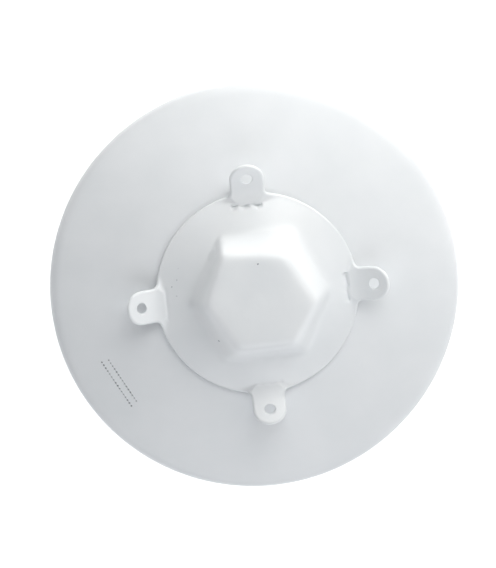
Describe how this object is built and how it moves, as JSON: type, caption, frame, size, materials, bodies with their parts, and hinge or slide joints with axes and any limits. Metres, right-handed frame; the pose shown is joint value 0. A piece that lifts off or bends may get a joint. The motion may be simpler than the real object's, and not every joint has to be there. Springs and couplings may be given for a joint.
{
  "type": "heat detector",
  "caption": "Round white ceiling heat detector: domed disc, pressed cap with six-sided crown and pierced turned-up ears, diaphragm contact, fusible plunger, twist-on base.",
  "frame": {"origin": "centre of the mounting base's flat back, at the ceiling plane", "axes": "+Z out of the detector's face, away from the ceiling; +X through one ear and the line of the box-screw slots; +Y through the next ear"},
  "size_m": [0.116, 0.116, 0.0356],
  "materials": {
    "face_plate": "semi-gloss moulded white",
    "heat_cap": "semi-gloss white enamel over pressed aluminium",
    "mounting_base": "fine matte moulded white",
    "chassis": "fine matte moulded white",
    "cap_seal": "pale silicone",
    "diaphragm": "thin rolled sheet",
    "diaphragm_seal": "matte black",
    "retainer_ring": "turned",
    "retainer_screws": "zinc plated",
    "vent_plug": "turned",
    "diaphragm_pin": "natural acetal",
    "contact_blade": "phosphor bronze strip",
    "moving_contact": "silver",
    "leaf_foot": "phosphor bronze strip",
    "leaf_rivet": "plain",
    "contact_bush": "turned",
    "calibration_screw": "turned",
    "fixed_contact": "silver",
    "line_bus": "tinned strip",
    "common_bus": "tinned strip",
    "terminal_screws": "zinc plated",
    "terminal_clamps": "zinc plated",
    "case_screws": "zinc plated",
    "contact_cover": "moulded black",
    "cover_screws": "zinc plated",
    "fusible_sleeve": "turned",
    "fusible_alloy": "dull cast alloy",
    "plunger": "turned",
    "plunger_spring": "bright wire"
  },
  "bodies": {
    "base": {"mounting_base": "mounting_base"},
    "head": {"face_plate": "face_plate", "heat_cap": "heat_cap", "chassis": "chassis", "cap_seal": "cap_seal", "diaphragm": "diaphragm", "diaphragm_seal": "diaphragm_seal", "retainer_ring": "retainer_ring", "retainer_screws": "retainer_screws", "vent_plug": "vent_plug", "leaf_foot": "leaf_foot", "leaf_rivet": "leaf_rivet", "contact_bush": "contact_bush", "calibration_screw": "calibration_screw", "fixed_contact": "fixed_contact", "line_bus": "line_bus", "common_bus": "common_bus", "terminal_screws": "terminal_screws", "terminal_clamps": "terminal_clamps", "case_screws": "case_screws", "contact_cover": "contact_cover", "cover_screws": "cover_screws", "fusible_sleeve": "fusible_sleeve", "fusible_alloy": "fusible_alloy", "plunger_spring": "plunger_spring"},
    "pin": {"diaphragm_pin": "diaphragm_pin"},
    "blade": {"contact_blade": "contact_blade", "moving_contact": "moving_contact"},
    "plunger": {"plunger": "plunger"}
  },
  "joints": [
    {"name": "twist_lock", "type": "hinge", "parent": "base", "child": "head", "pos_m": [0, 0, 0], "axis": [0, 0, 1], "range_deg": [0, 25]},
    {"name": "diaphragm_travel", "type": "slide", "parent": "head", "child": "pin", "axis": [0, 0, 1], "range_m": [-0.00042, 0], "stiffness_N_per_m": 150, "deforming": ["diaphragm"]},
    {"name": "blade_bend", "type": "hinge", "parent": "head", "child": "blade", "pos_m": [-0.011, 0, 0.0172], "axis": [0, 1, 0], "range_deg": [0, 2.19]},
    {"name": "plunger_drop", "type": "slide", "parent": "head", "child": "plunger", "axis": [0, 0, 1], "range_m": [-0.001, 0], "deforming": ["plunger_spring"]}
  ],
  "couplings": [
    {"joint": "blade_bend", "follows": "diaphragm_travel", "rad_per_m": -90.9}
  ]
}
